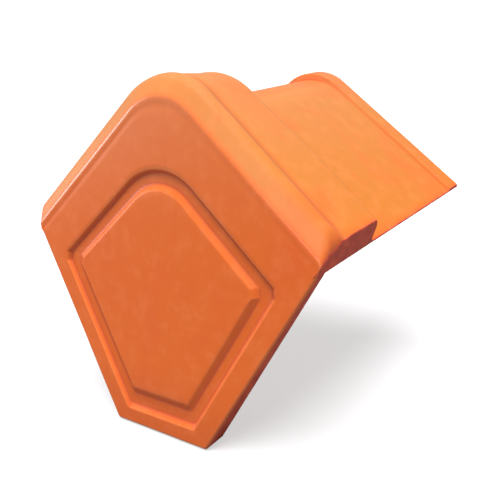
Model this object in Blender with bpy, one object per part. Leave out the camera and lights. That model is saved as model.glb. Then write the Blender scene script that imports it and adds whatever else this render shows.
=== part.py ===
# Gable end tile: a pressed clay ridge tile whose outer end is closed by a shield-shaped plate.
# Frame: x runs across the ridge, +y runs along the ridge away from the plate, +z is up.
# The origin is on the mid-plane, level with the eaves, on the face of the plate.

import bpy
import bmesh
from math import acos, cos, hypot, pi, radians, sin, tan

# Saddle: the run of the tile that sits over the ridge
EAVE_WIDTH = 0.240          # across the two eaves, at the bedding level
RIDGE_LENGTH = 0.217        # plate face to far end, measured at the eaves
ROOF_PITCH = radians(40.0)  # fall of each slope
RIDGE_RADIUS = 0.047        # outside rounding of the ridge
WALL = 0.013                # clay thickness of saddle and head
EAVE_LAND = 0.0012          # thin upright edge left along the eaves

# Head: the raised collar behind the plate
HEAD_RISE = 0.0157          # collar above the saddle's slope
HEAD_RADIUS = 0.0515        # outside rounding of the collar's ridge, near its rear end
HEAD_DEPTH = 0.063          # plate face to the foot of the collar's rear shoulder
HEAD_EASE = 0.028           # crease to where the collar's ridge has its full rounding
SHOULDER_RUN = 0.012        # length over which the rear shoulder comes down
SKIRT = 0.015               # clay thickness at the foot of the collar's sides
TRIM_FLARE = 0.38           # outward lean of the trimmed side faces, run over rise

# Roll: the raised front edge of the head, and the crease behind it; depths are from the plate's face
FACE_RISE = 0.0048          # edge of the face above the saddle's slope
FACE_RADIUS = 0.0390        # rounding of the face at the apex
EDGE_DROP = 0.0014          # flat part of the face stops this far below that edge
BEND_RISE = 0.0055          # corner between the face and the roll's front
BEND_RADIUS = 0.0045        # rounding of that corner
CROWN_DEPTH = 0.0083        # corner between the roll's front and its back
CROWN_RISE = 0.0214
CROWN_RADIUS = 0.0073       # rounding of that corner
CREASE_DEPTH = 0.0186
CREASE_RISE = 0.0149
CREASE_ROUND = 0.0050       # rounding along the bottom of the crease
CREASE_RADIUS = 0.0445      # rounding of the ridge at the crease
CREASE_RUN = 0.0069         # crease to the level part of the collar
CREASE_EASE = 0.0140        # rounding where the crease runs out
CROWN_EASE = 0.0080         # the ridge's rounding starts to tighten this far behind the face

# Plate: the hanging shield
PLATE_LEAN = radians(9.7)   # the foot of the plate stands forward
PLATE_DROP = 0.125          # eaves down to the foot of the plate
FOOT_WIDTH = 0.0816         # width of the straight foot
PLATE_THICKNESS = 0.0085    # at the eaves and above them
FOOT_THICKNESS = 0.0178     # at the foot
EDGE_RADIUS = 0.0025        # rounding of the plate's lower front edges

# Groove: the pressed channel around the centre panel
GROOVE_SLOPE_INSET = 0.0328  # from the face's upper edge
GROOVE_SIDE_INSET = 0.0152   # from the tapered sides
GROOVE_FOOT_INSET = 0.0120   # from the foot
GROOVE_WIDTH = 0.0128        # under the slopes and along the sides
GROOVE_FOOT_WIDTH = 0.0154   # along the foot
GROOVE_DEPTH = 0.0028
GROOVE_OUTER_RUN = 0.0022    # sideways run of the outer sloping wall
GROOVE_INNER_RUN = 0.0048    # sideways run of the inner sloping wall
GROOVE_RADIUS = 0.0450       # rounding of the channel's outer edge at the apex
GROOVE_CORNER = 0.0040       # blunting of the channel's side corners

# Lip: the low raised band at the far end, higher on the ridge than on the slopes
LIP_WIDTH = 0.0185
LIP_RISE = 0.0014            # above the saddle's slopes
LIP_RADIUS = 0.0360          # outside rounding of the lip's ridge
LIP_STEP = 0.0024            # length over which the lip comes up
LIP_EDGE = 0.0010            # rounding of the far end's edge

# Chip: the clay broken from the right-hand end of the roll
CHIP_RADIUS = 0.020          # curvature of the broken hollow
CHIP_BITE = 0.0030           # how deep it bites
CHIP_DEPTH = 0.0040          # its middle, behind the plate's face
CHIP_RISE = 0.0130           # its middle, above the saddle's slope
CHIP_TURN = radians(35.8)    # it faces sideways, turned this far to the front

# Fineness of the faceting
ARC_STEPS = 14
SLOPE_STEPS = 3
BEND_STEPS = 3
CROWN_STEPS = 5
CREASE_STEPS = 3
EASE_STEPS = 2
SHOULDER_STEPS = 5
COLLAR_STATIONS = (0.4, 0.8)    # shares of the collar's length that have a ring

HALF_EAVE = EAVE_WIDTH / 2
HALF_FOOT = FOOT_WIDTH / 2
PITCH_TAN = tan(ROOF_PITCH)
PITCH_COS = cos(ROOF_PITCH)
CORE_MARGIN = 0.020          # how far a cutter reaches past what it cuts
TONGUE_TRIM = 0.012          # saddle blank left under the eaves before the core cut
CORE_ARRIS = 0.003           # upright step at the inner edge of each bedding face


def apex_height(offset):
    """Height at which the two straight slopes would meet, for a surface raised by offset."""
    land_x = HALF_EAVE + EAVE_LAND * TRIM_FLARE
    return EAVE_LAND + PITCH_TAN * land_x + offset / PITCH_COS


def slope_end(offset):
    """Point where a slope raised by offset meets the trimmed side face."""
    z = (apex_height(offset) - PITCH_TAN * HALF_EAVE) / (1 + PITCH_TAN * TRIM_FLARE)
    return HALF_EAVE + z * TRIM_FLARE, z


def over_the_ridge(offset, radius, start):
    """Points from the right side over the rounded ridge to the left, starting at start."""
    centre = apex_height(offset) - radius / PITCH_COS
    tangent = (radius * sin(ROOF_PITCH), centre + radius * PITCH_COS)
    right = []
    for i in range(SLOPE_STEPS):
        t = i / SLOPE_STEPS
        right.append((start[0] + (tangent[0] - start[0]) * t, start[1] + (tangent[1] - start[1]) * t))
    arc = []
    for i in range(ARC_STEPS + 1):
        a = ROOF_PITCH * (1 - 2 * i / ARC_STEPS)
        arc.append((radius * sin(a), centre + radius * cos(a)))
    return right + arc + [(-x, z) for x, z in reversed(right)]


def taper_line(inset):
    """The right tapered side moved inwards by inset, as a*x + b*z = c with a unit normal."""
    dx = HALF_EAVE - HALF_FOOT
    length = (dx ** 2 + PLATE_DROP ** 2) ** 0.5
    a = PLATE_DROP / length
    b = -dx / length
    return a, b, a * HALF_EAVE - inset


def taper_x(z, inset):
    """Where the tapered side, moved inwards, stands at height z."""
    a, b, c = taper_line(inset)
    return (c - b * z) / a


def plate_ring(rise, radius, edge_inset):
    """Outline of the plate: rise of its upper edge, apex rounding, inset of its lower edges."""
    start = slope_end(rise)
    upper = over_the_ridge(rise, radius, start)
    foot = -PLATE_DROP + edge_inset
    corner_x = taper_x(0, edge_inset)
    foot_x = taper_x(foot, edge_inset)
    lower = [(-corner_x, 0), (-foot_x, foot), (foot_x, foot), (corner_x, 0)]
    return upper, lower


def panel_ring(extra):
    """Outline around the centre panel, extra is the distance inside the channel's outer edge."""
    rise = FACE_RISE - GROOVE_SLOPE_INSET - extra
    a, b, c = taper_line(GROOVE_SIDE_INSET + extra)
    apex = apex_height(rise)
    x = (c - b * apex) / (a - b * PITCH_TAN)
    z = apex - PITCH_TAN * x
    start = (x - GROOVE_CORNER * PITCH_COS, z + GROOVE_CORNER * sin(ROOF_PITCH))
    upper = over_the_ridge(rise, GROOVE_RADIUS - extra, start)
    foot = -PLATE_DROP + GROOVE_FOOT_INSET + extra * GROOVE_FOOT_WIDTH / GROOVE_WIDTH
    side = (x + GROOVE_CORNER * b, z - GROOVE_CORNER * a)
    foot_x = (c - b * foot) / a
    lower = [(-side[0], side[1]), (-foot_x, foot), (foot_x, foot), side]
    return upper, lower


def saddle_ring(rise, radius):
    """Outline of the saddle blank; the part under the eaves is cut away by the core."""
    upper = over_the_ridge(rise, radius, slope_end(rise))
    low_x = HALF_EAVE - TONGUE_TRIM * TRIM_FLARE
    foot_x = min(HALF_FOOT, low_x * 0.5)
    lower = [(-low_x, -TONGUE_TRIM), (-foot_x, -TONGUE_TRIM), (foot_x, -TONGUE_TRIM), (low_x, -TONGUE_TRIM)]
    return upper, lower


def place(points, depth, lean):
    """Points of a section, set back by depth from the plate's face and leaning with it."""
    return [(x, depth + z * tan(lean), z) for x, z in points]


def ease(t):
    """Rises smoothly from 0 to 1."""
    t = min(max(t, 0), 1)
    return t * t * (3 - 2 * t)


def rounded_corner(before, corner, after, radius, steps):
    """Points along the arc that rounds one corner of a profile."""
    back = (before[0] - corner[0], before[1] - corner[1])
    on = (after[0] - corner[0], after[1] - corner[1])
    back_length = hypot(*back)
    on_length = hypot(*on)
    back = (back[0] / back_length, back[1] / back_length)
    on = (on[0] / on_length, on[1] / on_length)
    half = acos(max(-1, min(1, back[0] * on[0] + back[1] * on[1]))) / 2
    reach = min(radius / tan(half), back_length * 0.6, on_length * 0.6)
    radius = reach * tan(half)
    middle = (back[0] + on[0], back[1] + on[1])
    scale = radius / sin(half) / hypot(*middle)
    centre = (corner[0] + middle[0] * scale, corner[1] + middle[1] * scale)
    first = (corner[0] + back[0] * reach - centre[0], corner[1] + back[1] * reach - centre[1])
    last = (corner[0] + on[0] * reach - centre[0], corner[1] + on[1] * reach - centre[1])
    turn = pi - 2 * half
    points = []
    for i in range(steps + 1):
        a = turn * i / steps
        p = sin(turn - a) / sin(turn)
        q = sin(a) / sin(turn)
        points.append((centre[0] + first[0] * p + last[0] * q, centre[1] + first[1] * p + last[1] * q))
    return points


def roll_profile():
    """Depth and rise from the edge of the flat face over the roll and the crease to the collar."""
    edge = (0, FACE_RISE - EDGE_DROP)
    bend = (0, BEND_RISE)
    crown = (CROWN_DEPTH, CROWN_RISE)
    crease = (CREASE_DEPTH, CREASE_RISE)
    level = (CREASE_DEPTH + CREASE_RUN, HEAD_RISE)
    beyond = (CREASE_DEPTH + CREASE_RUN * 1.5, HEAD_RISE)
    front = [edge] + rounded_corner(edge, bend, crown, BEND_RADIUS, BEND_STEPS)
    over = rounded_corner(bend, crown, crease, CROWN_RADIUS, CROWN_STEPS)
    behind = rounded_corner(crown, crease, level, CREASE_ROUND, CREASE_STEPS)
    behind += rounded_corner(crease, level, beyond, CREASE_EASE, EASE_STEPS)
    return front + over, behind + [beyond]


def ridge_rounding(depth, rise):
    """Rounding of the ridge of the head, tightest at the crease."""
    face = FACE_RADIUS - FACE_RISE
    crease = CREASE_RADIUS - CREASE_RISE
    collar = HEAD_RADIUS - HEAD_RISE
    to_crease = ease((depth - CROWN_EASE) / (CREASE_DEPTH - CROWN_EASE))
    to_collar = ease((depth - CREASE_DEPTH) / HEAD_EASE)
    return rise + face + (crease - face) * to_crease + (collar - crease) * to_collar


def tile_stations():
    """Every ring of the outside, from the centre panel over the face, roll and saddle to the far end."""
    rings = []

    def add(ring, depth, lean=PLATE_LEAN, low_depth=None):
        upper, lower = ring
        low_depth = depth if low_depth is None else low_depth
        rings.append(place(upper, depth, lean) + place(lower, low_depth, lean))

    add(panel_ring(GROOVE_WIDTH), 0)
    add(panel_ring(GROOVE_WIDTH - GROOVE_INNER_RUN), GROOVE_DEPTH)
    add(panel_ring(GROOVE_OUTER_RUN), GROOVE_DEPTH)
    add(panel_ring(0), 0)
    plate_back = max(FOOT_THICKNESS, PLATE_THICKNESS) + CORE_MARGIN / 2
    roll, behind = roll_profile()
    for i, (depth, rise) in enumerate(roll):
        t = i / (len(roll) - 1)
        edge_a = min(pi / 2, pi * t)
        low_depth = EDGE_RADIUS * (1 - cos(edge_a)) + (plate_back - EDGE_RADIUS) * max(2 * t - 1, 0)
        ring = plate_ring(rise, ridge_rounding(depth, rise), EDGE_RADIUS * (1 - sin(edge_a)))
        add(ring, depth, low_depth=low_depth)
    blank_depth = plate_back + CORE_MARGIN / 2
    top = HEAD_DEPTH - SHOULDER_RUN
    level = behind[-1][0]
    head = behind + [(level + (top - level) * t, HEAD_RISE) for t in COLLAR_STATIONS]
    for i, (depth, rise) in enumerate(head):
        low_depth = blank_depth + (top - blank_depth) * i / len(head)
        add(saddle_ring(rise, ridge_rounding(depth, rise)), depth, low_depth=low_depth)
    for i in range(SHOULDER_STEPS + 1):
        a = pi / 2 * i / SHOULDER_STEPS
        rise = HEAD_RISE * cos(a)
        radius = RIDGE_RADIUS + (HEAD_RADIUS - RIDGE_RADIUS) * cos(a)
        add(saddle_ring(rise, radius), top + SHOULDER_RUN * sin(a))
    lip = RIDGE_LENGTH - LIP_WIDTH
    add(saddle_ring(0, RIDGE_RADIUS), lip, lean=0)
    add(saddle_ring(LIP_RISE, LIP_RADIUS), lip + LIP_STEP, lean=0)
    add(saddle_ring(LIP_RISE, LIP_RADIUS), RIDGE_LENGTH - LIP_EDGE, lean=0)
    add(saddle_ring(LIP_RISE - LIP_EDGE, LIP_RADIUS - LIP_EDGE), RIDGE_LENGTH, lean=0)
    return rings


def core_ring(rise, depth, lean, low_lean=None):
    """Section of the hollow, with the space under the eaves; rise is the outside's own rise there."""
    low_lean = lean if low_lean is None else low_lean
    inner = rise - WALL
    radius = max(RIDGE_RADIUS + rise * (HEAD_RADIUS - RIDGE_RADIUS) / HEAD_RISE - WALL, WALL)
    apex = apex_height(inner)
    x = min(HALF_EAVE - SKIRT, (apex - CORE_ARRIS) / PITCH_TAN)
    upper = over_the_ridge(inner, radius, (x, apex - PITCH_TAN * x))
    wide = HALF_EAVE + CORE_MARGIN * 2
    low = -PLATE_DROP - CORE_MARGIN
    above = [(wide, 0), (x, 0)] + upper + [(-x, 0), (-wide, 0)]
    return place(above, depth, lean) + place([(-wide, low), (wide, low)], depth, low_lean)


def core_front(count):
    """Faces of the core's front, folded along the eaves: the hollow's own and the one below it."""
    hollow = list(range(1, count - 3))
    under = [0, 1, count - 4, count - 3, count - 2, count - 1]
    return [hollow, under]


def core_stations():
    """Rings of the core, from the back of the plate out past the far end."""
    back_lean = PLATE_LEAN - (FOOT_THICKNESS - PLATE_THICKNESS) / PLATE_DROP
    head_end = HEAD_DEPTH - SHOULDER_RUN - WALL / 2
    return [
        core_ring(HEAD_RISE, PLATE_THICKNESS, PLATE_LEAN, back_lean),
        core_ring(HEAD_RISE, head_end, PLATE_LEAN),
        core_ring(0, head_end + HEAD_RISE, PLATE_LEAN),
        core_ring(0, RIDGE_LENGTH + CORE_MARGIN, 0),
    ]


def chip_centre():
    """Centre of the ball that takes the chip out of the roll's right-hand end."""
    reach = CHIP_RADIUS - CHIP_BITE
    x, z = slope_end(CHIP_RISE)
    y = CHIP_DEPTH + z * tan(PLATE_LEAN)
    return x + reach * cos(CHIP_TURN), y - reach * sin(CHIP_TURN), z


def ball(name, centre, radius, collection):
    bm = bmesh.new()
    bmesh.ops.create_icosphere(bm, subdivisions=3, radius=radius)
    bmesh.ops.translate(bm, verts=bm.verts[:], vec=centre)
    mesh = bpy.data.meshes.new(name)
    bm.to_mesh(mesh)
    bm.free()
    obj = bpy.data.objects.new(name, mesh)
    collection.objects.link(obj)
    return obj


def loft(name, rings, collection, front=None):
    """A closed solid through rings of equal length; front lists the first cap's faces, if it is folded."""
    bm = bmesh.new()
    loops = [[bm.verts.new(p) for p in ring] for ring in rings]
    for first, second in zip(loops, loops[1:]):
        for i in range(len(first)):
            j = (i + 1) % len(first)
            bm.faces.new((first[i], first[j], second[j], second[i]))
    for corners in front or [range(len(loops[0]))]:
        bm.faces.new([loops[0][i] for i in corners])
    bm.faces.new(loops[-1])
    bmesh.ops.recalc_face_normals(bm, faces=bm.faces[:])
    mesh = bpy.data.meshes.new(name)
    bm.to_mesh(mesh)
    bm.free()
    obj = bpy.data.objects.new(name, mesh)
    collection.objects.link(obj)
    return obj


def cut_away(obj, cutter):
    """Takes the cutter's volume out of the object and leaves the cutter as a wire guide."""
    cutter.hide_render = True
    cutter.display_type = 'WIRE'
    cut = obj.modifiers.new(cutter.name, 'BOOLEAN')
    cut.operation = 'DIFFERENCE'
    cut.solver = 'EXACT'
    cut.object = cutter


def clay_material():
    mat = bpy.data.materials.new("fired_clay")
    mat.use_nodes = True
    shader = mat.node_tree.nodes["Principled BSDF"]
    shader.inputs["Base Color"].default_value = (0.62, 0.17, 0.045, 1)
    shader.inputs["Roughness"].default_value = 0.42
    shader.inputs["Metallic"].default_value = 0.0
    return mat


def main():
    for obj in list(bpy.data.objects):
        bpy.data.objects.remove(obj, do_unlink=True)
    parts = bpy.data.collections.new("gable_end_tile")
    cutters = bpy.data.collections.new("cutters")
    bpy.context.scene.collection.children.link(parts)
    bpy.context.scene.collection.children.link(cutters)

    tile = loft("gable_end_tile", tile_stations(), parts)
    tile.data.materials.append(clay_material())
    core = core_stations()
    cut_away(tile, loft("hollow", core, cutters, core_front(len(core[0]))))
    cut_away(tile, ball("chip", chip_centre(), CHIP_RADIUS, cutters))
    tile.data.shade_smooth()
    tile.data.set_sharp_from_angle(angle=radians(35))


main()
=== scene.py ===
from math import acos, cos, pi, radians, sin, sqrt, tan

import bpy
import bmesh
import numpy as np
from mathutils import Matrix, Vector, noise


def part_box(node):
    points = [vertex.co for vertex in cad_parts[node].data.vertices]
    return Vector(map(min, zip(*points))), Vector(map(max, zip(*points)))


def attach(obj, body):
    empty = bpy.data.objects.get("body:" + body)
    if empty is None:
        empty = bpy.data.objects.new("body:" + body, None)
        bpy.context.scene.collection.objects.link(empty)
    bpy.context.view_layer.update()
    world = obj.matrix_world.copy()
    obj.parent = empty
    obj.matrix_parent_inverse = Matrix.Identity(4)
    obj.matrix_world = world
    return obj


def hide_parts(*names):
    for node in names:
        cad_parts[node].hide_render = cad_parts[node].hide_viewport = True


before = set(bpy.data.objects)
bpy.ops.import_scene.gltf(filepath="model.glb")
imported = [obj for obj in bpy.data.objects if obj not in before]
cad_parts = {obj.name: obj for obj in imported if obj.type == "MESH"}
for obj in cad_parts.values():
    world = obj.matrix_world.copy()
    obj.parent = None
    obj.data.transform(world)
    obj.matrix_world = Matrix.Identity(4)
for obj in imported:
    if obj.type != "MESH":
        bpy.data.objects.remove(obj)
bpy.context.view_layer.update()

lowCorner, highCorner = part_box("gable_end_tile")
print("frame loaded")

# the tile, in metres and radians: x across the ridge, y along it, z up from the eaves;
# a rise is measured square to the saddle's slope, and a depth backwards from the plate's face
tile = {
    "halfEave": 0.120,          # mid-plane to the foot of each side
    "length": highCorner.y,     # plate's face to the open end, at the eaves
    "pitch": radians(40.0),     # fall of each slope
    "ridgeRadius": 0.047,
    "wall": 0.013,
    "land": 0.0012,             # thin upright edge left along the eaves
    "flare": 0.38,              # outward lean of the trimmed sides, run over rise
    "lean": radians(9.7),       # the plate's foot stands forward

    # plate
    "drop": -lowCorner.z,       # eaves to the foot of the plate
    "halfFoot": 0.0408, "footRound": 0.003,
    "thickness": 0.0085, "footThickness": 0.0178,
    "faceRise": 0.0048, "faceRadius": 0.039,
    "frontRound": 0.0025,       # rounding of the plate's lower front edges
    "edgeDip": 0.0003,          # faint hollow in the face just below the roll
    "dipInset": 0.0026, "dipWidth": 0.0016,     # its distance from the face's edge, and its spread
    "dipRight": 0.35, "dipTurn": 0.08,      # share of it left on the right, and the width of that change
    "dipFade": 0.006,           # height above the eaves in which it dies out

    # roll and crease
    "rollCorners": ((0, 0.0034), (0, 0.0055), (0.0083, 0.0214), (0.0186, 0.0149), (0.0255, 0.0157),
                    (0.0290, 0.0157)),  # depth and rise: face, face's edge, crown, crease, collar
    "rollRounds": (0.0045, 0.0073, 0.0050, 0.0140),
    "creaseRadius": 0.0445,
    "toCrease": (0.008, 0.011), "toCollar": (0.0186, 0.028),    # depth and run of the ridge's changes

    # collar, and the shoulder behind it
    "collarRise": 0.0157, "collarRadius": 0.0515,
    "collarEnd": 0.063,         # depth at which the collar drops to the saddle
    "shoulderRound": (0.006, 0.013),    # rounding of that drop, at the eaves and on the ridge
    "shoulderFoot": (0.005, 0.0025),    # and of the turn at its foot
    "shoulderEasing": (0.085, 0.065),   # the change from eaves to ridge: where it starts, and its width
    "shoulderSlant": 0.0008, "shoulderRun": 0.007,      # backward lean of the drop, and depth to its end
    "skirt": 0.015,             # clay left at the foot of the collar's sides

    # hollow
    "headBack": 0.0185,         # its wide head ends this far before the collar does
    "hollowSide": 0.003,        # upright part of its sides under the saddle
    "backFillet": 0.005,        # fillet between the plate and the hollow
    "bedArris": (0.001, 0.3), "innerTurn": (0.004, 0.4),    # rounding, and its most share of that part

    # lip and open end
    "lipApproach": 0.008,       # straight saddle in front of the lip
    "lipWidth": 0.0185, "lipRise": 0.0014, "lipRadius": 0.036, "lipStep": 0.0024, "lipRound": 0.0025,
    "endRound": 0.0014,

    "weld": 0.000004,           # points nearer than this are one
}

# the pressed channel round the centre panel
channel = {
    "slopeInset": 0.0328, "sideInset": 0.0152, "footInset": 0.0120,
    "width": 0.0128, "footSpread": 1.2,     # the channel is wider along the foot
    "depth": 0.0028, "outerRun": 0.0022, "innerRun": 0.0048, "softness": 0.0008,
    "radius": 0.0450, "corner": 0.0040, "cornerRound": 0.0026,
}

# steps across a row, from one eave to the other; each kind of row adds up to the same number
steps = {
    "side": 10, "arris": 8, "slope": 48, "ridge": 36,
    "taper": 66, "footCorner": 8, "foot": 56,
    "bed": 10, "bedArris": 4, "innerSide": 10, "innerTurn": 4, "innerSlope": 38,
}

# steps from row to row, in straight stretches and in arcs
rowSteps = {
    "channel": 24, "face": 17, "faceCrowding": 1.4,     # the face's rows crowd towards its edge
    "rollLines": (1, 5, 3, 3, 2), "rollArcs": (7, 10, 5, 5),
    "shoulderLines": (14, 5, 3), "shoulderArcs": (9, 5),
    "saddle": 46, "lipLines": (4, 2, 9), "lipArcs": (5, 5), "endArc": 5,
    "endFace": 7, "backUpper": 16, "backLower": 18, "panel": 40,
}

# wear: how rounded the trimmed edges are, and how much clay the roll's right end has lost
wear = {
    "least": 0.0005, "most": 0.0022,                # along the saddle
    "right": 0.0048, "left": 0.0030, "frontReach": 0.026,   # at the front, and how far back that reaches
    "room": 0.9,                                    # most share of a side's height that a rounding takes
    "wave": 0.011, "ripple": 0.0045, "rippleShare": 0.25,
    "rightSeed": 11.3, "leftSeed": 47.9, "rippleSeed": 7.1, "chipSeed": (3.7, 1.9),
    "chipRound": 0.0125, "chipRagged": 0.3,
    "chipDepths": (-0.001, 0.0185), "chipRuns": (0.006, 0.008),     # start and end, and how softly
}

# bounds of the finishes, in metres
bounds = {
    "skin": 0.0016,             # the pressed skin begins this far from a cut face
    "eaves": 0.001,             # slack about the level of the eaves
    "bedDepth": 0.012, "bedReach": 0.07,    # the beds lie behind the one and outside the other
    "edgeDepth": 0.002,         # the plate's edge is cut from this depth backwards
    "edgeKept": 0.0005, "endKept": 0.0003,  # moves the cut tone outwards, at that edge and the open end
    "topDepth": 0.004, "topRun": 0.003, "topFoot": 0.004,
    "rollDepth": 0.0002, "rollRun": 0.0018,
    "creaseFront": 0.0056, "creaseBack": 0.0036,    # reach of the crease's painted shade to either side
    "lipFoot": 0.0006, "lipReach": 0.0015, "lipShare": 0.9,
    "paintedLitRun": 0.007,          # the outside's painted lit tone fades this near the trimmed sides
    "frontDepth": 0.0075, "frontRun": 0.003,
}

slopeTan = tan(tile["pitch"])
slopeCos = cos(tile["pitch"])
leanTan = tan(tile["lean"])
creaseDepth, creaseRise = tile["rollCorners"][3]


def unit(v):
    return v / np.hypot(*v)


def smooth(t):      # 0 to 1, level at both ends
    t = np.clip(t, 0, 1)
    return t * t * (3 - 2 * t)


def mirrored(half):     # corners of the right half, with the mid-plane's own last
    return list(half) + [(-x, z) for x, z in reversed(half[:-1])]


def roundedPath(corners, radii, lines, arcs):   # straight stretches joined by arcs
    corners = [np.array(p, float) for p in corners]
    points = []
    start = corners[0]
    for i in range(1, len(corners) - 1):
        corner, radius = corners[i], radii[i - 1]
        inward = unit(corner - corners[i - 1])
        outward = unit(corners[i + 1] - corner)
        turn = acos(np.clip(inward @ outward, -1, 1))
        reach = radius * tan(turn / 2)
        centre = corner + unit(outward - inward) * radius / cos(turn / 2)
        arcStart, arcEnd = corner - inward * reach, corner + outward * reach
        points += [start + (arcStart - start) * k / lines[i - 1] for k in range(lines[i - 1])]
        for k in range(arcs[i - 1]):
            a = turn * k / arcs[i - 1]
            spoke = (sin(turn - a) * (arcStart - centre) + sin(a) * (arcEnd - centre)) / sin(turn)
            points.append(centre + spoke)
        start = arcEnd
    points += [start + (corners[-1] - start) * k / lines[-1] for k in range(lines[-1] + 1)]
    return np.array(points)


def roundInset(radius, depth):  # how far a rounded edge still stands back at this depth
    return radius - sqrt(max(radius ** 2 - max(radius - depth, 0) ** 2, 0))


def apexHeight(rise):   # where the two slopes would meet, for a surface raised by rise
    return tile["land"] + slopeTan * (tile["halfEave"] + tile["land"] * tile["flare"]) + rise / slopeCos


def sideEnd(rise):      # where a raised slope meets the trimmed side
    z = (apexHeight(rise) - slopeTan * tile["halfEave"]) / (1 + slopeTan * tile["flare"])
    return tile["halfEave"] + z * tile["flare"], z


def taperLine(inset):   # the plate's right side moved inwards, as a * x + b * z = c
    across, down = tile["halfEave"] - tile["halfFoot"], tile["drop"]
    a, b = down / np.hypot(across, down), -across / np.hypot(across, down)
    return a, b, a * tile["halfEave"] - inset


def upperRow(corner, end, top, radius, arrises):
    path = mirrored([corner, end, (0, top)])
    s = steps
    lines = (s["side"], s["slope"], s["slope"], s["side"])
    arcs = (s["arris"], 2 * s["ridge"], s["arris"])
    return roundedPath(path, (arrises[0], radius, arrises[1]), lines, arcs)


def wornArrises(depth, rise):   # roundings where the slopes meet the trimmed right and left sides
    w = wear
    room = sideEnd(rise)[1] * w["room"]
    front = float(smooth(1 - depth / w["frontReach"]))
    rounds = []
    for seed, worst in ((w["rightSeed"], w["right"]), (w["leftSeed"], w["left"])):
        wave = 0.5 + 0.5 * noise.noise(Vector((depth / w["wave"], seed, 0)))
        wave += w["rippleShare"] * noise.noise(Vector((depth / w["ripple"], seed, w["rippleSeed"])))
        rounds.append(w["least"] + max(wave, 0) * (w["most"] + (worst - w["most"]) * front))
    (start, end), (startRun, endRun) = w["chipDepths"], w["chipRuns"]
    chipped = float(smooth((depth - start) / startRun) * smooth((end - depth) / endRun))
    ragged = 1 + w["chipRagged"] * noise.noise(Vector((depth / w["ripple"], *w["chipSeed"])))
    rounds[0] += w["chipRound"] * ragged * chipped
    return [min(r, room) for r in rounds]


def lowerRow(corner, foot):
    path = (corner, foot, (-foot[0], foot[1]), (-corner[0], corner[1]))
    s = steps
    lines = (s["taper"], s["foot"], s["taper"])
    return roundedPath(path, [tile["footRound"]] * 2, lines, [s["footCorner"]] * 2)


def innerRow(bedX, rise, radius):
    top = apexHeight(rise)
    turnZ = top - slopeTan * bedX
    arris, turn = [min(most, turnZ * share) for most, share in (tile["bedArris"], tile["innerTurn"])]
    path = mirrored([(tile["halfEave"], 0), (bedX, 0), (bedX, turnZ), (0, top)])
    s = steps
    lines = (s["bed"], s["innerSide"], s["innerSlope"], s["innerSlope"], s["innerSide"], s["bed"])
    arcs = (s["bedArris"], s["innerTurn"], 2 * s["ridge"], s["innerTurn"], s["bedArris"])
    return roundedPath(path, (arris, turn, radius, turn, arris), lines, arcs)


def placed(points, depth, lean):    # a row in space, at its depth
    return np.column_stack((points[:, 0], depth + points[:, 1] * lean, points[:, 1]))


def plateUpper(rise, radius, inset, depth=0):
    a, b, c = taperLine(inset)
    return upperRow((c / a, 0), sideEnd(rise), apexHeight(rise), radius, wornArrises(depth, rise))


def plateLower(inset):
    a, b, c = taperLine(inset)
    foot = -tile["drop"] + inset
    return lowerRow((c / a, 0), ((c - b * foot) / a, foot))


def channelRows(extra):     # outlines parallel to the channel, extra inside its outer edge
    g = channel
    rise = tile["faceRise"] - g["slopeInset"] - extra
    a, b, c = taperLine(g["sideInset"] + extra)
    top = apexHeight(rise)
    x = (c - b * top) / (a - b * slopeTan)
    z = top - slopeTan * x
    low = (x + g["corner"] * b, z - g["corner"] * a)
    end = (x - g["corner"] * slopeCos, z + g["corner"] * sin(tile["pitch"]))
    foot = -tile["drop"] + g["footInset"] + extra * g["footSpread"]
    return (upperRow(low, end, top, g["radius"] - extra, [g["cornerRound"]] * 2),
            lowerRow(low, ((c - b * foot) / a, foot)))


def channelDepth(extra):
    g = channel
    outer = smooth((extra + g["softness"]) / (g["outerRun"] + g["softness"]))
    inner = smooth((g["width"] + g["softness"] - extra) / (g["innerRun"] + g["softness"]))
    return g["depth"] * min(outer, inner)


def faceDip(points, away):  # deepest on the left, and gone at the eaves
    leftward = tile["dipRight"] + (1 - tile["dipRight"]) * smooth(0.5 - points[:, 0] / tile["dipTurn"])
    across = np.exp(-((away - tile["dipInset"]) / tile["dipWidth"]) ** 2)
    return tile["edgeDip"] * across * leftward * smooth(points[:, 2] / tile["dipFade"])


def ridgeRounding(depth, rise):     # tightest at the crease, so the ridge runs level over it
    face, collar = tile["faceRadius"] - tile["faceRise"], tile["collarRadius"] - tile["collarRise"]
    crease = tile["creaseRadius"] - creaseRise
    changes = (tile["toCrease"], tile["toCollar"])
    toCrease, toCollar = [smooth((depth - start) / run) for start, run in changes]
    return rise + face + (crease - face) * toCrease + (collar - crease) * toCollar


def rollProfile():  # depth, rise and ridge rounding: over the plate's thickness, and on to the collar
    r = rowSteps
    path = roundedPath(tile["rollCorners"], tile["rollRounds"], r["rollLines"], r["rollArcs"])
    depth, rise = path[:, 0], path[:, 1]
    profile = np.column_stack((depth, rise, ridgeRounding(depth, rise)))
    k = int(np.searchsorted(depth, tile["thickness"]))
    part = (tile["thickness"] - depth[k - 1]) / (depth[k] - depth[k - 1])
    atBack = profile[k - 1] + (profile[k] - profile[k - 1]) * part
    return np.vstack((profile[:k], atBack)), profile[k:]


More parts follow.
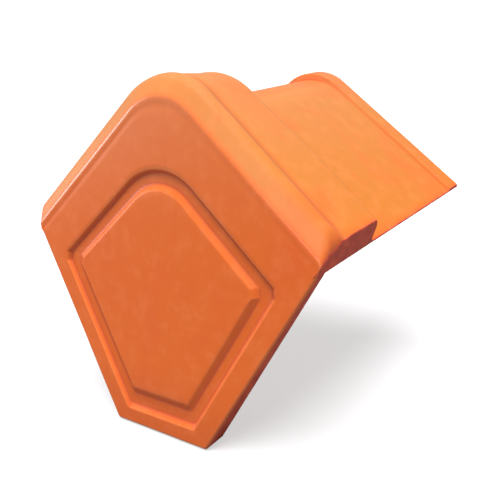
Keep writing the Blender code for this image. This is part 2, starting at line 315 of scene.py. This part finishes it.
def frontRows():    # pairs of rows above and below the eaves, from the panel's edge to the plate's back
    g = channel
    pairs = []
    count = rowSteps["channel"]
    for k in range(count + 1):
        extra = g["width"] + g["softness"] - (g["width"] + 2 * g["softness"]) * k / count
        upper, lower = channelRows(extra)
        depth = channelDepth(extra)
        pairs.append((placed(upper, depth, leanTan), placed(lower, depth, leanTan)))

    # face, from the channel out to the roll and the plate's edge
    insideUpper, insideLower = pairs[-1]
    front = rollProfile()[0]
    rise, radius = front[0][1:]
    edgeUpper = placed(plateUpper(rise, radius, tile["frontRound"]), 0, leanTan)
    edgeLower = placed(plateLower(tile["frontRound"]), 0, leanTan)
    count = rowSteps["face"]
    for k in range(1, count):
        t = 1 - (1 - k / count) ** rowSteps["faceCrowding"]
        upper = insideUpper + (edgeUpper - insideUpper) * t
        away = (1 - t) * (g["slopeInset"] - tile["faceRise"] + rise)
        upper[:, 1] += faceDip(upper, away)
        pairs.append((upper, insideLower + (edgeLower - insideLower) * t))

    # roll above, and below it the plate's edge, which thickens towards the foot
    thick, soft = tile["thickness"], tile["frontRound"]
    for depth, rise, radius in front:
        inset = roundInset(soft, depth)
        upper = placed(plateUpper(rise, radius, inset, depth), depth, leanTan)
        lower = plateLower(inset)
        spread = max(depth - soft, 0) / (thick - soft)
        extraDepth = (tile["footThickness"] - thick) * spread * -lower[:, 1] / tile["drop"]
        pairs.append((upper, placed(lower, depth + extraDepth, leanTan)))
    return pairs


def outerRow(rise, radius, depth, lean):
    eave, worn = (tile["halfEave"], 0), wornArrises(depth, rise)
    return placed(upperRow(eave, sideEnd(rise), apexHeight(rise), radius, worn), depth, lean)


def hollowRow(depth, lean, mouth=0.0):  # the inside at the same depth, opened by mouth at its rounded end
    headEnd = tile["collarEnd"] - tile["headBack"]
    t = float(smooth((depth - headEnd) / tile["collarRise"]))
    inset = roundInset(tile["backFillet"], depth - tile["thickness"])
    rise = tile["collarRise"] * (1 - t) - tile["wall"] - inset + mouth
    radius = tile["collarRadius"] + (tile["ridgeRadius"] - tile["collarRadius"]) * t - tile["wall"]
    saddleBed = (apexHeight(-tile["wall"]) - tile["hollowSide"]) / slopeTan
    bedX = (tile["halfEave"] - tile["skirt"]) * (1 - t) + saddleBed * t - inset
    return placed(innerRow(bedX, rise, radius), depth, lean)


def shoulderPaths():    # one for each point across a row: depth, and the share of the collar's rise left
    widest, width = tile["shoulderEasing"]
    nearRidge = smooth((widest - np.abs(outerRow(0, tile["ridgeRadius"], 0, 0)[:, 0])) / width)
    small, large = tile["shoulderRound"]
    footSmall, footLarge = tile["shoulderFoot"]
    start, end, rise = tile["rollCorners"][-1][0], tile["collarEnd"], tile["collarRise"]
    slant, run = tile["shoulderSlant"], tile["shoulderRun"]
    corners = ((start, rise), (end, rise), (end + slant, 0), (end + run, 0))
    paths = []
    for share in nearRidge:
        rounds = (small + (large - small) * share, footSmall + (footLarge - footSmall) * share)
        path = roundedPath(corners, rounds, rowSteps["shoulderLines"], rowSteps["shoulderArcs"])
        paths.append(path / (1.0, rise))
    return np.array(paths)


def saddleRows():   # pairs of rows outside and inside, from the plate's back to the open end
    pairs = []
    for depth, rise, radius in rollProfile()[1]:
        pairs.append((outerRow(rise, radius, depth, leanTan), hollowRow(depth, leanTan)))

    # collar and its rear shoulder, whose rounding grows from the eaves to the ridge
    eave, rise, ridge = (tile["halfEave"], 0), tile["collarRise"], tile["ridgeRadius"]
    shoulder = shoulderPaths()
    for k in range(1, shoulder.shape[1]):
        depth, share = shoulder[:, k, 0], shoulder[:, k, 1][:, None]
        rounding = ridgeRounding(depth[len(depth) // 2], rise)
        high = upperRow(eave, sideEnd(rise), apexHeight(rise), rounding, wornArrises(depth[0], rise))
        low = upperRow(eave, sideEnd(0), apexHeight(0), ridge, wornArrises(depth[0], 0))
        section = low * (1 - share) + high * share
        pairs.append((placed(section, depth, leanTan), hollowRow(depth[0], leanTan)))

    # saddle, standing square by the time it reaches the lip
    lipStart = tile["length"] - tile["lipWidth"]
    after, before = tile["collarEnd"] + tile["shoulderRun"], lipStart - tile["lipApproach"]
    count = rowSteps["saddle"]
    for k in range(1, count):
        depth = after + (before - after) * k / count
        lean = leanTan * (1 - (depth - after) / (before - after))
        pairs.append((outerRow(0, ridge, depth, lean), hollowRow(depth, lean)))

    # lip, whose ridge is sharper than the saddle's
    full, sharper, endRound = tile["lipRise"], tile["lipRadius"] - ridge, tile["endRound"]
    corners = ((before, 0), (lipStart, 0),
               (lipStart + tile["lipStep"], full), (tile["length"] - endRound, full))
    lip = roundedPath(corners, [tile["lipRound"]] * 2, rowSteps["lipLines"], rowSteps["lipArcs"])
    for depth, rise in lip:
        pairs.append((outerRow(rise, ridge + sharper * rise / full, depth, 0), hollowRow(depth, 0)))

    # rounded edges of the open end, outside and inside
    count = rowSteps["endArc"]
    for k in range(1, count + 1):
        a = pi / 2 * k / count
        depth = tile["length"] - endRound * (1 - sin(a))
        fall = endRound * (1 - cos(a))
        outer = outerRow(full - fall, tile["lipRadius"] - fall, depth, 0)
        pairs.append((outer, hollowRow(depth, 0, fall)))
    return pairs


def between(first, last, count):    # the rows that fill a flat face, without its two edge rows
    return [first + (last - first) * k / count for k in range(1, count)]


def trimDistance(p):    # how far inside the trimmed sides each point lies
    return (tile["halfEave"] + tile["flare"] * p[:, 2] - np.abs(p[:, 0])) / np.hypot(1, tile["flare"])


def faceDepth(p):       # how far behind the plate's face
    return p[:, 1] - p[:, 2] * leanTan


def bareShare(p):       # 1 on the faces where the clay was trimmed, 0 on the pressed skin
    u = bounds
    x, y, z = np.abs(p[:, 0]), p[:, 1], p[:, 2]
    depth = faceDepth(p)
    a, b, c = taperLine(0)
    trimmed = np.where(z > -u["eaves"], trimDistance(p), 1)
    bedding = np.where((depth > u["bedDepth"]) & (x > u["bedReach"]), np.abs(z), 1)
    taper = np.where((z < u["eaves"]) & (depth > u["edgeDepth"]), c - a * x - b * z, 1) + u["edgeKept"]
    foot = np.where(depth > u["edgeDepth"], z + tile["drop"], 1) + u["edgeKept"]
    openEnd = tile["length"] - y + u["endKept"]
    away = np.minimum.reduce([trimmed, bedding, taper, foot, openEnd])
    return 1 - smooth(away / u["skin"])


def topShare(p):        # 1 on the roll, the collar and the saddle's outside, 0 elsewhere
    u = bounds
    above = p[:, 2] + slopeTan * np.abs(p[:, 0]) - apexHeight(-u["topDepth"])
    return smooth(above / u["topRun"]) * smooth((p[:, 2] + u["eaves"]) / u["topFoot"])


def rollShare(p):       # 0 on the face, 1 from the roll's band backwards
    return smooth((faceDepth(p) - bounds["rollDepth"]) / bounds["rollRun"])


def creaseShadeShare(p):     # painted shade: 1 along the bottom of the crease and the foot of the lip, fading to either side
    u = bounds
    away = faceDepth(p) - creaseDepth
    reach = np.where(away < 0, u["creaseFront"], u["creaseBack"])
    lipAway = p[:, 1] - (tile["length"] - tile["lipWidth"] + u["lipFoot"])
    lip = u["lipShare"] * np.exp(-(lipAway / u["lipReach"]) ** 2)
    return (np.exp(-(away / reach) ** 2) + lip) * topShare(p)


def paintedLitShare(p):      # painted light: 1 on the outside behind the face, where it takes a lit copy of the clay's tone, less near its trimmed sides
    return topShare(p) * rollShare(p) * smooth(trimDistance(p) / bounds["paintedLitRun"])


def frontShare(p):      # 1 on the front of the roll, which takes a painted lit tone and a painted highlight
    return topShare(p) * smooth((bounds["frontDepth"] - faceDepth(p)) / bounds["frontRun"])


def bendShare(v):       # mean curvature in 1/mm: above 0 in hollows, below 0 on edges
    bends = []
    for edge in v.link_edges:
        step = edge.other_vert(v).co - v.co
        bends.append(2 * step.dot(v.normal) / max(step.length_squared, 1e-9))
    return sum(bends) / max(len(bends), 1) / 1000


def tileRows():     # every row in one closed sweep over the whole piece
    front, rear = frontRows(), saddleRows()
    backEdge, backLow = hollowRow(tile["thickness"], leanTan), front[-1][1]
    atEaves = backEdge.copy()
    share = backEdge[:, 2] / np.maximum(backEdge[:, 2] - backLow[:, 2], 1e-9)
    atEaves[:, 0] += (backLow[:, 0] - backEdge[:, 0]) * share
    atEaves[:, 1:] = tile["thickness"], 0
    rows = [upper for upper, lower in front] + [outer for outer, inner in rear]
    rows += between(rear[-1][0], rear[-1][1], rowSteps["endFace"])
    rows += [inner for outer, inner in reversed(rear)]
    rows += [backEdge] + between(backEdge, atEaves, rowSteps["backUpper"])
    rows += [atEaves] + between(atEaves, backLow, rowSteps["backLower"])
    rows += [lower for upper, lower in reversed(front)]
    rows += between(front[0][1], front[0][0], rowSteps["panel"])
    return np.array(rows)


def tileMesh():
    grid = tileRows()
    count, width = grid.shape[:2]
    faces = []
    for r in range(count):
        here, after = r * width, (r + 1) % count * width
        faces += [(here + i, here + i + 1, after + i + 1, after + i) for i in range(width - 1)]
    mesh = bpy.data.meshes.new("gableEndTile")
    mesh.from_pydata(grid.reshape(-1, 3).tolist(), [], faces)
    bm = bmesh.new()
    bm.from_mesh(mesh)
    bmesh.ops.remove_doubles(bm, verts=bm.verts[:], dist=tile["weld"])
    bmesh.ops.recalc_face_normals(bm, faces=bm.faces[:])
    bm.normal_update()
    openEdges = sum(1 for e in bm.edges if not e.is_manifold)
    print(f"tile: {count} rows, {len(bm.verts)} points, {len(bm.faces)} faces, {openEdges} open edges")
    bend = [bendShare(v) for v in bm.verts]
    bm.to_mesh(mesh)
    bm.free()
    points = np.array([v.co for v in mesh.vertices])
    shares = {"bend": bend, "bare": bareShare(points), "crease": creaseShadeShare(points),
              "paintedLit": paintedLitShare(points), "frontEdge": frontShare(points)}
    for name, values in shares.items():
        mesh.attributes.new(name, "FLOAT", "POINT").data.foreach_set("value", values)
    obj = bpy.data.objects.new("gableEndTile", mesh)
    bpy.context.scene.collection.objects.link(obj)
    return obj


# finishes

class Wire:     # a socket that can be used in sums
    def __init__(self, sheet, socket):
        self.sheet, self.socket = sheet, socket

    def maths(self, operation, *values):
        return self.sheet.node("ShaderNodeMath", {"operation": operation}, dict(enumerate(values)))

    def __add__(self, other):
        return self.maths("ADD", self, other)

    def __radd__(self, other):
        return self.maths("ADD", other, self)

    def __sub__(self, other):
        return self.maths("SUBTRACT", self, other)

    def __rsub__(self, other):
        return self.maths("SUBTRACT", other, self)

    def __mul__(self, other):
        return self.maths("MULTIPLY", self, other)

    def __rmul__(self, other):
        return self.maths("MULTIPLY", other, self)

    def __rtruediv__(self, other):
        return self.maths("DIVIDE", other, self)


class Sheet:    # the node tree of a material, the world or a modifier
    def __init__(self, tree):
        self.tree = tree
        tree.nodes.clear()

    def node(self, kind, settings=None, values=None, output=0):
        made = self.tree.nodes.new(kind)
        for name, value in (settings or {}).items():
            setattr(made, name, value)
        for name, value in (values or {}).items():
            if isinstance(value, Wire):
                self.tree.links.new(value.socket, made.inputs[name])
            else:
                made.inputs[name].default_value = value
        return Wire(self, made.outputs[output] if made.outputs else None)

    def noise(self, place, scale, detail, rough, twist=0.0):
        return self.node("ShaderNodeTexNoise", {}, {"Vector": place, "Scale": scale, "Detail": detail,
                                                    "Roughness": rough, "Distortion": twist})

    def band(self, value, edges):   # 0 below the first edge, 1 above the second, smooth between
        return self.node("ShaderNodeMapRange", {"interpolation_type": "SMOOTHSTEP"},
                         {"Value": value, "From Min": edges[0], "From Max": edges[1]})

    def tint(self, factor, first, second):
        return self.node("ShaderNodeMix", {"data_type": "RGBA"}, {0: factor, 6: first, 7: second}, 2)

    def laid(self, layer, value, colour):   # a layer's tone over a colour, where the value is in its band
        return self.tint(layer["amount"] * self.band(value, layer["band"]), colour, layer["tone"])


# unevenness left by the pressing: depth and size of each kind, with the scuffs only where cut
pressing = {
    "swell": 0.00028, "swellSize": 0.045,
    "ripple": 0.00009, "rippleSize": 0.009,
    "scuff": 0.00022, "scuffSize": 0.0035,
    "seed": 4.0,
}


def pressedTree(mat):   # sinks the surface by smooth noise
    tree = bpy.data.node_groups.new("pressedClay", "GeometryNodeTree")
    tree.interface.new_socket("Geometry", in_out="OUTPUT", socket_type="NodeSocketGeometry")
    tree.interface.new_socket("Geometry", in_out="INPUT", socket_type="NodeSocketGeometry")
    for name in pressing:
        tree.interface.new_socket(name, in_out="INPUT", socket_type="NodeSocketFloat")
    s = Sheet(tree)
    given = s.node("NodeGroupInput").socket.node
    values = {socket.name: Wire(s, socket) for socket in given.outputs if socket.name}
    place = s.node("GeometryNodeInputPosition")
    normal = s.node("GeometryNodeInputNormal")
    bare = s.node("GeometryNodeInputNamedAttribute", {"data_type": "FLOAT"}, {"Name": "bare"})

    def unevenness(name):
        return values[name] * s.node("ShaderNodeTexNoise", {"noise_dimensions": "4D"},
                                     {"Vector": place, "W": values["seed"],
                                      "Scale": 1 / values[name + "Size"], "Detail": 1.0})

    sunk = unevenness("swell") + unevenness("ripple") + unevenness("scuff") * bare
    offset = s.node("ShaderNodeVectorMath", {"operation": "SCALE"}, {0: normal, "Scale": -1.0 * sunk})
    moved = s.node("GeometryNodeSetPosition", {}, {"Geometry": values["Geometry"], "Offset": offset})
    plain = s.node("GeometryNodeRealizeInstances", {}, {"Geometry": moved})
    done = s.node("GeometryNodeSetMaterial", {}, {"Geometry": plain, "Material": mat})
    s.node("NodeGroupOutput", {}, {"Geometry": done})
    return tree


def pressed(obj, mat):
    tree = pressedTree(mat)
    modifier = obj.modifiers.new("pressedClay", "NODES")
    modifier.node_group = tree
    for socket in tree.interface.items_tree:
        if socket.in_out == "INPUT" and socket.name in pressing:
            modifier[socket.identifier] = pressing[socket.name]
    mesh = bpy.data.meshes.new_from_object(obj.evaluated_get(bpy.context.evaluated_depsgraph_get()))
    mesh.name = "gableEndTile"
    obj.modifiers.clear()
    obj.data = mesh


# each layer: its tone, how much of it shows, and the band of the pattern, height or bend that it takes
clay = {
    "plateLow": (0.66, 0.119, 0.012, 1), "plateHigh": (0.66, 0.165, 0.044, 1),  # at the eaves, on the ridge: painted light and shade, lighter towards the ridge
    "topLow": (0.49, 0.148, 0.016, 1), "topHigh": (0.50, 0.184, 0.056, 1),      # the same for the outside: painted light, a yellower lit copy of the plate's tone
    "level": (0.0, 0.125), "levelSway": 0.04,       # heights of the low and the high tones
    # painted shade: the plate darker towards its foot
    "foot": {"tone": (0.50, 0.079, 0.009, 1), "amount": 0.55, "band": (0.07, 0.13)},
    # painted light: a paler lit tone on the roll's front band
    "rollFront": (0.56, 0.190, 0.048, 1),
    "clouds": {"tone": (0.66, 0.092, 0.018, 1), "amount": 0.34, "band": (0.48, 0.75)},
    "dust": {"tone": (0.84, 0.260, 0.100, 1), "amount": 0.14, "band": (0.45, 0.72)},
    "streaks": {"tone": (0.66, 0.092, 0.018, 1), "amount": 0.25, "band": (0.55, 0.80)},
    # painted shade along the crease and the foot of the lip
    "crease": (0.46, 0.100, 0.022, 1), "creaseShadeAmount": 0.62,
    "hollowShade": (0.52, 0.075, 0.020, 1), "hollowShadeAmount": 0.75,    # painted shade in hollows
    "hollowShadeBend": (0.015, 0.14), "hollowShadeSway": 0.03, "creaseClear": 0.85,   # share of that painted shade left out in the crease
    "wornAndHighlit": (0.86, 0.300, 0.120, 1), "wornAndHighlitAmount": 0.14, "wornAndHighlitFront": 0.2,    # paler edges: partly worn clay, partly a painted highlight, the most on the roll's front edge
    "wornAndHighlitBend": (0.085, 0.17), "wornAndHighlitSway": 0.04,
    "cut": (0.80, 0.112, 0.052, 1), "cutDark": (0.60, 0.074, 0.038, 1), "cutMottle": (0.40, 0.66),
    "cutEdge": (0.42, 0.72), "cutSway": 0.5,
    "roughness": 0.41, "roughMottle": 0.14, "roughGrain": 0.12, "roughCut": 0.30,
    "polishBend": (0.02, 0.09), "polishShine": 0.14,        # the roll's front edge is smoother
    "coat": 0.8, "coatRoughness": 0.24,
    "bumpStrength": 0.30, "bumpDistance": 0.0005,
    "bumpMottle": 0.22, "bumpGrain": 0.35, "bumpCut": 1.1,
    "broadNoise": {"scale": 16.0, "detail": 3.0, "rough": 0.55, "twist": 0.6},
    "mottleNoise": {"scale": 90.0, "detail": 4.0, "rough": 0.6},
    "streakNoise": {"scale": 120.0, "detail": 3.0, "rough": 0.6},
    "streakStretch": (1.0, 1.0, 0.22),      # drawn out upwards
    "grainNoise": {"scale": 1100.0, "detail": 3.0, "rough": 0.65},
}


def clayFinish():
    c = clay
    mat = bpy.data.materials.new("firedClay")
    mat.use_nodes = True
    s = Sheet(mat.node_tree)
    place = s.node("ShaderNodeTexCoord", output="Object")
    height = s.node("ShaderNodeSeparateXYZ", {}, {"Vector": place}, "Z")
    bare, bend, crease, paintedLit, frontEdge = [
        s.node("ShaderNodeAttribute", {"attribute_name": name}, {}, 2)
        for name in ("bare", "bend", "crease", "paintedLit", "frontEdge")]
    broad = s.noise(place, **c["broadNoise"])
    mottle = s.noise(place, **c["mottleNoise"])
    drawnOut = s.node("ShaderNodeMapping", {}, {"Vector": place, "Scale": c["streakStretch"]})
    streak = s.noise(drawnOut, **c["streakNoise"])
    grain = s.noise(place, **c["grainNoise"])
    outward = -1.0 * bend       # above 0 on edges

    # pressed skin: the plate's tones, and those of the outside, with painted light and shade: lighter
    # towards the ridge, darker towards the foot
    level = s.band(height + c["levelSway"] * (broad - 0.5), c["level"])
    plate = s.laid(c["foot"], -1.0 * height, s.tint(level, c["plateLow"], c["plateHigh"]))
    # painted light: the roll's front takes a paler lit tone
    top = s.tint(frontEdge, s.tint(level, c["topLow"], c["topHigh"]), c["rollFront"])
    # painted light: the outside takes the lit tones
    colour = s.tint(paintedLit, plate, top)
    colour = s.laid(c["clouds"], broad, colour)
    colour = s.laid(c["dust"], mottle, colour)
    colour = s.laid(c["streaks"], streak, colour)
    # painted shade in the crease and at the lip's foot
    colour = s.tint(c["creaseShadeAmount"] * crease * (0.5 + broad), colour, c["crease"])
    # painted shade where the surface bends inwards
    shadedHollow = s.band(bend + c["hollowShadeSway"] * (streak - 0.5), c["hollowShadeBend"])
    shadedHollow = shadedHollow * (1.0 - c["creaseClear"] * crease)
    colour = s.tint(c["hollowShadeAmount"] * shadedHollow, colour, c["hollowShade"])
    # paler edges, worn and with a painted highlight, the most along the roll's front
    wornAndHighlit = s.band(outward + c["wornAndHighlitSway"] * (mottle - 0.5), c["wornAndHighlitBend"])
    colour = s.tint((c["wornAndHighlitAmount"] + c["wornAndHighlitFront"] * frontEdge) * wornAndHighlit, colour, c["wornAndHighlit"])

    # bare clay where it was cut
    cutTone = s.tint(s.band(mottle, c["cutMottle"]), c["cutDark"], c["cut"])
    cut = s.band(bare + c["cutSway"] * (streak - 0.5), c["cutEdge"])
    colour = s.tint(cut, colour, cutTone)

    polish = s.band(outward, c["polishBend"]) * frontEdge
    rough = c["roughness"] + c["roughMottle"] * (mottle - 0.5) + c["roughGrain"] * (grain - 0.5)
    rough = rough + c["roughCut"] * cut - c["polishShine"] * polish
    relief = c["bumpMottle"] * mottle + (c["bumpGrain"] + c["bumpCut"] * cut) * grain
    bump = s.node("ShaderNodeBump", {}, {"Strength": c["bumpStrength"], "Distance": c["bumpDistance"],
                                         "Height": relief})
    shader = s.node("ShaderNodeBsdfPrincipled", {}, {
        "Base Color": colour, "Roughness": rough, "Normal": bump,
        "Coat Weight": c["coat"] * polish * (1.0 - cut), "Coat Roughness": c["coatRoughness"]})
    s.node("ShaderNodeOutputMaterial", {}, {"Surface": shader})
    return mat


tilePiece = tileMesh()
pressed(tilePiece, clayFinish())
tilePiece.data.shade_smooth()
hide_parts("gable_end_tile")
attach(tilePiece, "root")
print("tile pressed and finished")


# stage, light and camera

studio = {
    "floorHalf": 40.0, "floorGap": 0.0005,      # the floor lies just below the plate's foot
    "floorShade": 0.36, "floorGlow": 0.56,      # as the camera sees it
    "floorBounce": 0.18,                        # as the tile sees it
    "skyBright": 1.0, "skyFill": 0.36,          # behind the tile, and on it
    "key": {"from": (0.12, -0.12, 1.0), "spread": radians(46.0), "power": 6.15},
    "left": {"place": (-1.02, -0.35, 0.27), "size": 0.46, "power": 2.4},
    "front": {"place": (0.20, -1.10, 0.72), "size": 0.45, "power": 1.9},
    "aim": (0, 0.03, 0.04),
}


def floorPiece():
    half = studio["floorHalf"]
    z = lowCorner.z - studio["floorGap"]
    mesh = bpy.data.meshes.new("floor")
    corners = [(-half, -half, z), (half, -half, z), (half, half, z), (-half, half, z)]
    mesh.from_pydata(corners, [], [(0, 1, 2, 3)])
    obj = bpy.data.objects.new("floor", mesh)
    bpy.context.scene.collection.objects.link(obj)
    mat = bpy.data.materials.new("paleFloor")
    mat.use_nodes = True
    s = Sheet(mat.node_tree)
    seen = s.node("ShaderNodeLightPath", output="Is Camera Ray")
    bounce, shade = [s.node("ShaderNodeBsdfDiffuse", {}, {"Color": (v, v, v, 1)})
                     for v in (studio["floorBounce"], studio["floorShade"])]
    glow = s.node("ShaderNodeEmission", {}, {"Color": (1, 1, 1, 1), "Strength": studio["floorGlow"]})
    bright = s.node("ShaderNodeAddShader", {}, {0: shade, 1: glow})
    mixed = s.node("ShaderNodeMixShader", {}, {0: seen, 1: bounce, 2: bright})
    s.node("ShaderNodeOutputMaterial", {}, {"Surface": mixed})
    mesh.materials.append(mat)


def keyLight():     # broad light from overhead
    light = bpy.data.lights.new("key", "SUN")
    light.energy = studio["key"]["power"]
    light.angle = studio["key"]["spread"]
    obj = bpy.data.objects.new("key", light)
    obj.rotation_euler = Vector(studio["key"]["from"]).to_track_quat("Z", "Y").to_euler()
    obj.visible_glossy = False
    bpy.context.scene.collection.objects.link(obj)


# the left one draws the bright line along the face's edge, the front one the roll's sheen
def softPanel(name):
    light = bpy.data.lights.new(name, "AREA")
    light.energy = studio[name]["power"]
    light.shape = "DISK"
    light.size = studio[name]["size"]
    obj = bpy.data.objects.new(name, light)
    obj.location = studio[name]["place"]
    obj.rotation_euler = (obj.location - Vector(studio["aim"])).to_track_quat("Z", "Y").to_euler()
    bpy.context.scene.collection.objects.link(obj)


def studioWorld():
    world = bpy.data.worlds.new("studio")
    world.use_nodes = True
    s = Sheet(world.node_tree)
    seen = s.node("ShaderNodeLightPath", output="Is Camera Ray")
    strength = studio["skyFill"] + (studio["skyBright"] - studio["skyFill"]) * seen
    sky = s.node("ShaderNodeBackground", {}, {"Color": (1, 1, 1, 1), "Strength": strength})
    s.node("ShaderNodeOutputWorld", {}, {"Surface": sky})
    bpy.context.scene.world = world


# fitted to the outlines in the photograph
photoCamera = {
    "place": (0.2971, -0.2883, 0.13045), "lens": 47.66, "sensor": 36.0,
    "right": (0.80663, 0.58497, -0.08457), "down": (0.11916, -0.3011, -0.94612),
    "forward": (-0.57892, 0.75309, -0.31258),
}


def photoView():
    c = photoCamera
    data = bpy.data.cameras.new("photoCamera")
    data.lens = c["lens"]
    data.sensor_width = c["sensor"]
    obj = bpy.data.objects.new("photoCamera", data)
    turn = Matrix((c["right"], [-v for v in c["down"]], [-v for v in c["forward"]])).transposed()
    obj.matrix_world = Matrix.Translation(c["place"]) @ turn.to_4x4()
    bpy.context.scene.collection.objects.link(obj)
    bpy.context.scene.camera = obj


floorPiece()
keyLight()
softPanel("left")
softPanel("front")
studioWorld()
photoView()
bpy.context.scene.view_settings.view_transform = "Standard"
print("stage made")
